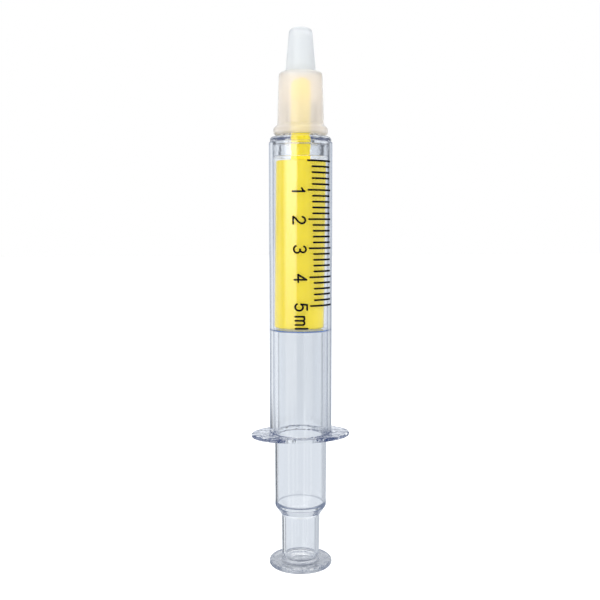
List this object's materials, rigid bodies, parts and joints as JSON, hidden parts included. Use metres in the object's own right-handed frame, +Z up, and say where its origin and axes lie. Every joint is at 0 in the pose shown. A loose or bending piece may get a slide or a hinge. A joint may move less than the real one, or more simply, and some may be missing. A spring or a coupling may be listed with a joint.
{
  "type": "syringe highlighter",
  "caption": "Syringe-shaped highlighter pen: clear graduated barrel with an oval finger flange, yellow ink core, hollow plunger with a round thumb disc, and a frosted push-on tip cap.",
  "frame": {"origin": "centre of the thumb disc's underside, on the pen's axis", "axes": "+Z up the pen's axis to the capped tip; X along the finger flange's long axis; Y across it"},
  "size_m": [0.0264, 0.0174, 0.1417],
  "materials": {
    "clear_barrel": "clear, polished, with a printed dark scale",
    "clear_front": "clear, polished",
    "nib_felt": "ink-soaked yellow felt",
    "ink_fibre": "ink-soaked yellow fibre",
    "wrap_film": "thin smooth film over yellow fibre",
    "clear_plunger": "clear, polished",
    "clear_head": "clear, polished",
    "frosted_cap": "frosted, translucent, natural white"
  },
  "bodies": {
    "pen": {"barrel": "clear_barrel", "nib_holder": "clear_front", "nib": "nib_felt", "ink_reservoir": "ink_fibre", "reservoir_film": "wrap_film"},
    "plunger_slider": {"plunger": "clear_plunger", "plunger_head": "clear_head"},
    "tip_cap": {"cap": "frosted_cap"}
  },
  "joints": [
    {"name": "plunger_slide", "type": "slide", "parent": "pen", "child": "plunger_slider", "axis": [0, 0, -1], "range_m": [0, 0.026]},
    {"name": "cap_pull", "type": "slide", "parent": "pen", "child": "tip_cap", "axis": [0, 0, 1], "range_m": [0, 0.03]}
  ]
}
